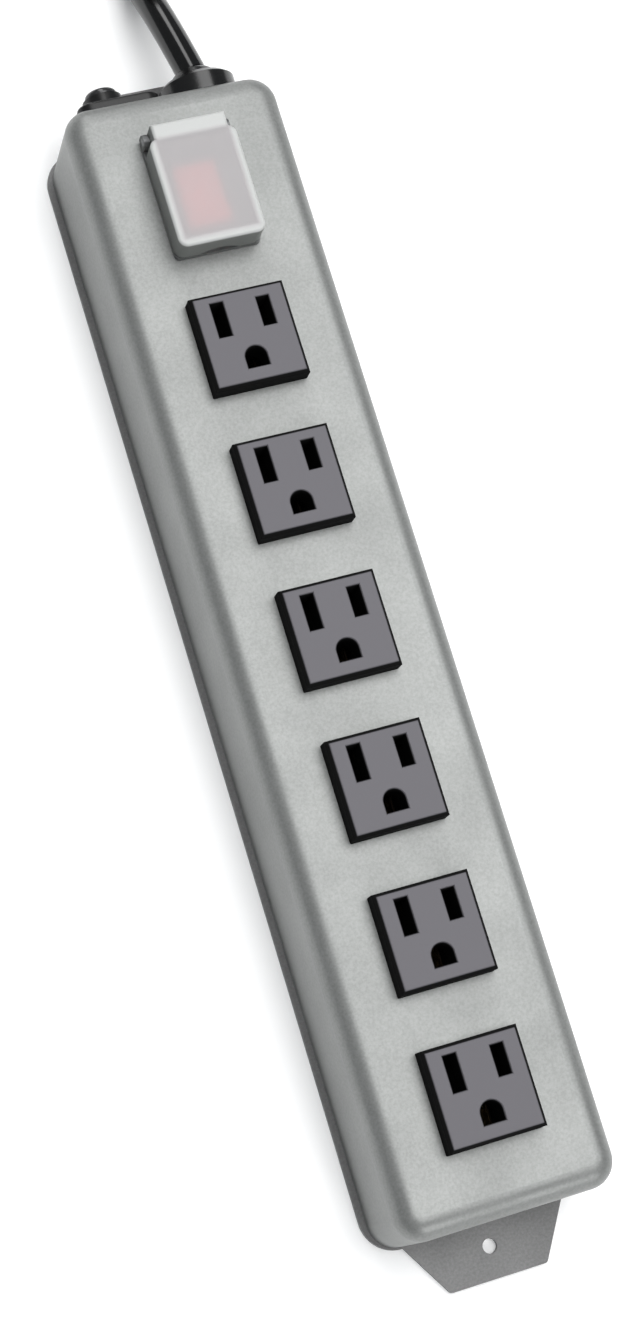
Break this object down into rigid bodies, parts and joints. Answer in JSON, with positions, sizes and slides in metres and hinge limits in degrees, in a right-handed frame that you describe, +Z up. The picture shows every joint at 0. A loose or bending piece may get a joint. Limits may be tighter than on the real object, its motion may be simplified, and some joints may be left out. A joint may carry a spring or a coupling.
{
  "type": "power strip",
  "caption": "Long painted-metal power strip with raised grounded outlets in line, a lit rocker under a clear hinged guard, mounting ears and a corded plug.",
  "frame": {"origin": "middle of the base plate's underside, which is the middle of the object's box at its base, without the free lead", "axes": "+X across the strip, +Y along it towards the switch and the cord, +Z up out of the outlets"},
  "size_m": [0.064, 0.5731, 0.0568],
  "materials": {
    "housing_paint": "fine-textured baked light grey paint",
    "plate_paint": "satin mid-grey paint on sheet steel",
    "screw_steel": "zinc-plated",
    "bracket_steel": "galvanised sheet",
    "fibre_sheet": "vulcanised fibre",
    "bus_brass": "rolled brass strip",
    "switch_black": "satin nylon",
    "rocker_red": "translucent red polycarbonate",
    "lamp_glass": "clear neon tube",
    "terminal_tin": "tinned brass",
    "guard_clear": "clear moulded polycarbonate, lightly frosted",
    "pin_steel": "bright drawn steel",
    "breaker_black": "phenolic moulding",
    "trim_black": "satin nylon",
    "button_grey": "dark nylon",
    "relief_black": "nylon",
    "cord_black": "glossy vinyl jacket",
    "connector_red": "vinyl-sleeved crimp",
    "wire_black": "vinyl insulation",
    "wire_white": "vinyl insulation",
    "wire_green": "vinyl insulation",
    "tie_fabric": "woven hook-and-loop strap",
    "plug_black": "moulded vinyl",
    "blade_metal": "bright nickel-plated brass",
    "outlet_black": "satin moulded thermoplastic",
    "outlet_insulator": "moulded insulator"
  },
  "bodies": {
    "strip": {"base_plate": "plate_paint", "base_screws": "screw_steel", "breaker_body": "breaker_black", "breaker_terminals": "terminal_tin", "cord_hank": "cord_black", "cord_lead": "cord_black", "cord_stub": "cord_black", "cord_tail": "cord_black", "flag_connectors": "connector_red", "ground_bus": "bus_brass", "ground_screw": "screw_steel", "guard_frame": "guard_clear", "guard_pin": "pin_steel", "hank_tie": "tie_fabric", "housing_shell": "housing_paint", "insulation_sheet": "fibre_sheet", "legend_plate": "trim_black", "line_bus": "bus_brass", "neutral_bus": "bus_brass", "outlet_base_1": "outlet_insulator", "outlet_base_2": "outlet_insulator", "outlet_base_3": "outlet_insulator", "outlet_base_4": "outlet_insulator", "outlet_base_5": "outlet_insulator", "outlet_base_6": "outlet_insulator", "outlet_face_1": "outlet_black", "outlet_face_2": "outlet_black", "outlet_face_3": "outlet_black", "outlet_face_4": "outlet_black", "outlet_face_5": "outlet_black", "outlet_face_6": "outlet_black", "plug_blades": "blade_metal", "plug_body": "plug_black", "plug_ground_pin": "blade_metal", "relief_wedge": "relief_black", "ring_terminal": "terminal_tin", "shell_brackets": "bracket_steel", "strain_relief": "relief_black", "switch_body": "switch_black", "switch_lamp": "lamp_glass", "switch_terminals": "terminal_tin", "wire_ground": "wire_green", "wire_line_in": "wire_black", "wire_neutral": "wire_white", "wire_switch_in": "wire_black", "wire_switch_out": "wire_black"},
    "rocker": {"switch_rocker": "rocker_red"},
    "lid": {"guard_lid": "guard_clear"},
    "button": {"reset_button": "button_grey"}
  },
  "joints": [
    {"name": "rocker_tilt", "type": "hinge", "parent": "strip", "child": "rocker", "pos_m": [0, 0.124, 0.0362], "axis": [1, 0, 0], "range_deg": [0, 20]},
    {"name": "guard_hinge", "type": "hinge", "parent": "strip", "child": "lid", "pos_m": [0, 0.1412, 0.0397], "axis": [-1, 0, 0], "range_deg": [0, 90]},
    {"name": "reset_travel", "type": "slide", "parent": "strip", "child": "button", "axis": [0, 1, 0], "range_m": [0, 0.003]}
  ]
}
